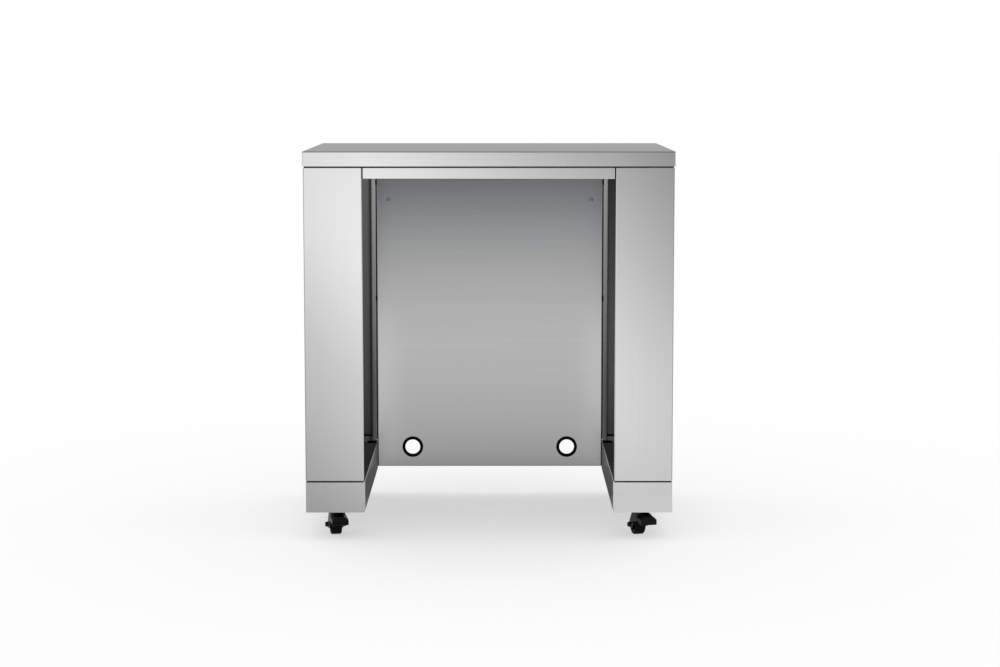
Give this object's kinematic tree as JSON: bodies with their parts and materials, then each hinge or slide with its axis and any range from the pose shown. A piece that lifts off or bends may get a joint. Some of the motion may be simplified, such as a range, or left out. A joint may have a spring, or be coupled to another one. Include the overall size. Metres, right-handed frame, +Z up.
{
  "type": "outdoor refrigerator cabinet",
  "caption": "Brushed stainless steel cabinet on braked casters: two hollow pillars carry a countertop over an open bay for an undercounter refrigerator, with cable grommets in its back panel.",
  "frame": {"origin": "on the floor under the middle of the cabinet", "axes": "+X to the right seen from the open front, +Y to the back panel, +Z up"},
  "size_m": [0.895, 0.66, 0.947],
  "materials": {
    "brushed_stainless": "brushed",
    "plated_hardware": "satin",
    "black_rubber": "matte",
    "black_plastic": "satin",
    "black_caster_steel": "satin"
  },
  "bodies": {
    "cabinet": {"back_panel": "brushed_stainless", "back_panel_bolts": "plated_hardware", "back_panel_spacers": "black_rubber", "back_stiffener": "brushed_stainless", "caster_bolts": "plated_hardware", "counter_screws": "plated_hardware", "counter_stiffener": "brushed_stainless", "countertop": "brushed_stainless", "header_rail": "brushed_stainless", "header_screws": "plated_hardware", "left_base_frame": "brushed_stainless", "left_base_plate": "brushed_stainless", "left_counter_support": "brushed_stainless", "left_front_panel": "brushed_stainless", "left_grommet": "black_rubber", "left_header_bracket": "brushed_stainless", "left_plinth_skirt": "brushed_stainless", "left_rear_panel": "brushed_stainless", "left_side_panel": "brushed_stainless", "panel_screws": "plated_hardware", "pillar_bolts": "plated_hardware", "pillar_spacers": "brushed_stainless", "right_base_frame": "brushed_stainless", "right_base_plate": "brushed_stainless", "right_counter_support": "brushed_stainless", "right_front_panel": "brushed_stainless", "right_grommet": "black_rubber", "right_header_bracket": "brushed_stainless", "right_plinth_skirt": "brushed_stainless", "right_rear_panel": "brushed_stainless", "right_side_panel": "brushed_stainless", "tie_screws": "plated_hardware", "front_left_caster_plate": "black_caster_steel", "front_left_swivel_bearing": "plated_hardware", "front_right_caster_plate": "black_caster_steel", "front_right_swivel_bearing": "plated_hardware", "rear_left_caster_plate": "black_caster_steel", "rear_left_swivel_bearing": "plated_hardware", "rear_right_caster_plate": "black_caster_steel", "rear_right_swivel_bearing": "plated_hardware"},
    "front_left_swivel": {"front_left_axle": "black_caster_steel", "front_left_fork": "black_caster_steel", "front_left_pedal_pin": "black_caster_steel"},
    "front_left_wheel": {"front_left_wheel": "black_plastic", "front_left_tyre": "black_rubber"},
    "front_left_brake": {"front_left_pedal": "black_plastic"},
    "front_right_swivel": {"front_right_axle": "black_caster_steel", "front_right_fork": "black_caster_steel", "front_right_pedal_pin": "black_caster_steel"},
    "front_right_wheel": {"front_right_wheel": "black_plastic", "front_right_tyre": "black_rubber"},
    "front_right_brake": {"front_right_pedal": "black_plastic"},
    "rear_left_swivel": {"rear_left_axle": "black_caster_steel", "rear_left_fork": "black_caster_steel"},
    "rear_left_wheel": {"rear_left_wheel": "black_plastic", "rear_left_tyre": "black_rubber"},
    "rear_right_swivel": {"rear_right_axle": "black_caster_steel", "rear_right_fork": "black_caster_steel"},
    "rear_right_wheel": {"rear_right_wheel": "black_plastic", "rear_right_tyre": "black_rubber"}
  },
  "joints": [
    {"name": "front_left_swivel_turn", "type": "hinge", "parent": "cabinet", "child": "front_left_swivel", "pos_m": [-0.37425, -0.264, 0.048], "axis": [0, 0, 1], "continuous": true},
    {"name": "front_left_wheel_spin", "type": "hinge", "parent": "front_left_swivel", "child": "front_left_wheel", "pos_m": [-0.37924, -0.24052, 0.025], "axis": [0.9781, 0.2079, 0], "continuous": true},
    {"name": "front_left_brake_press", "type": "hinge", "parent": "front_left_swivel", "child": "front_left_brake", "pos_m": [-0.37113, -0.27867, 0.048], "axis": [0.9781, 0.2079, 0], "range_deg": [0, 12]},
    {"name": "front_right_swivel_turn", "type": "hinge", "parent": "cabinet", "child": "front_right_swivel", "pos_m": [0.37425, -0.264, 0.048], "axis": [0, 0, 1], "continuous": true},
    {"name": "front_right_wheel_spin", "type": "hinge", "parent": "front_right_swivel", "child": "front_right_wheel", "pos_m": [0.36763, -0.24093, 0.025], "axis": [0.9613, 0.2756, 0], "continuous": true},
    {"name": "front_right_brake_press", "type": "hinge", "parent": "front_right_swivel", "child": "front_right_brake", "pos_m": [0.37838, -0.27842, 0.048], "axis": [0.9613, 0.2756, 0], "range_deg": [0, 12]},
    {"name": "rear_left_swivel_turn", "type": "hinge", "parent": "cabinet", "child": "rear_left_swivel", "pos_m": [-0.37425, 0.264, 0.048], "axis": [0, 0, 1], "continuous": true},
    {"name": "rear_left_wheel_spin", "type": "hinge", "parent": "rear_left_swivel", "child": "rear_left_wheel", "pos_m": [-0.38401, 0.28593, 0.025], "axis": [0.9135, 0.4067, 0], "continuous": true},
    {"name": "rear_right_swivel_turn", "type": "hinge", "parent": "cabinet", "child": "rear_right_swivel", "pos_m": [0.37425, 0.264, 0.048], "axis": [0, 0, 1], "continuous": true},
    {"name": "rear_right_wheel_spin", "type": "hinge", "parent": "rear_right_swivel", "child": "rear_right_wheel", "pos_m": [0.37091, 0.28777, 0.025], "axis": [0.9903, 0.1392, 0], "continuous": true}
  ]
}
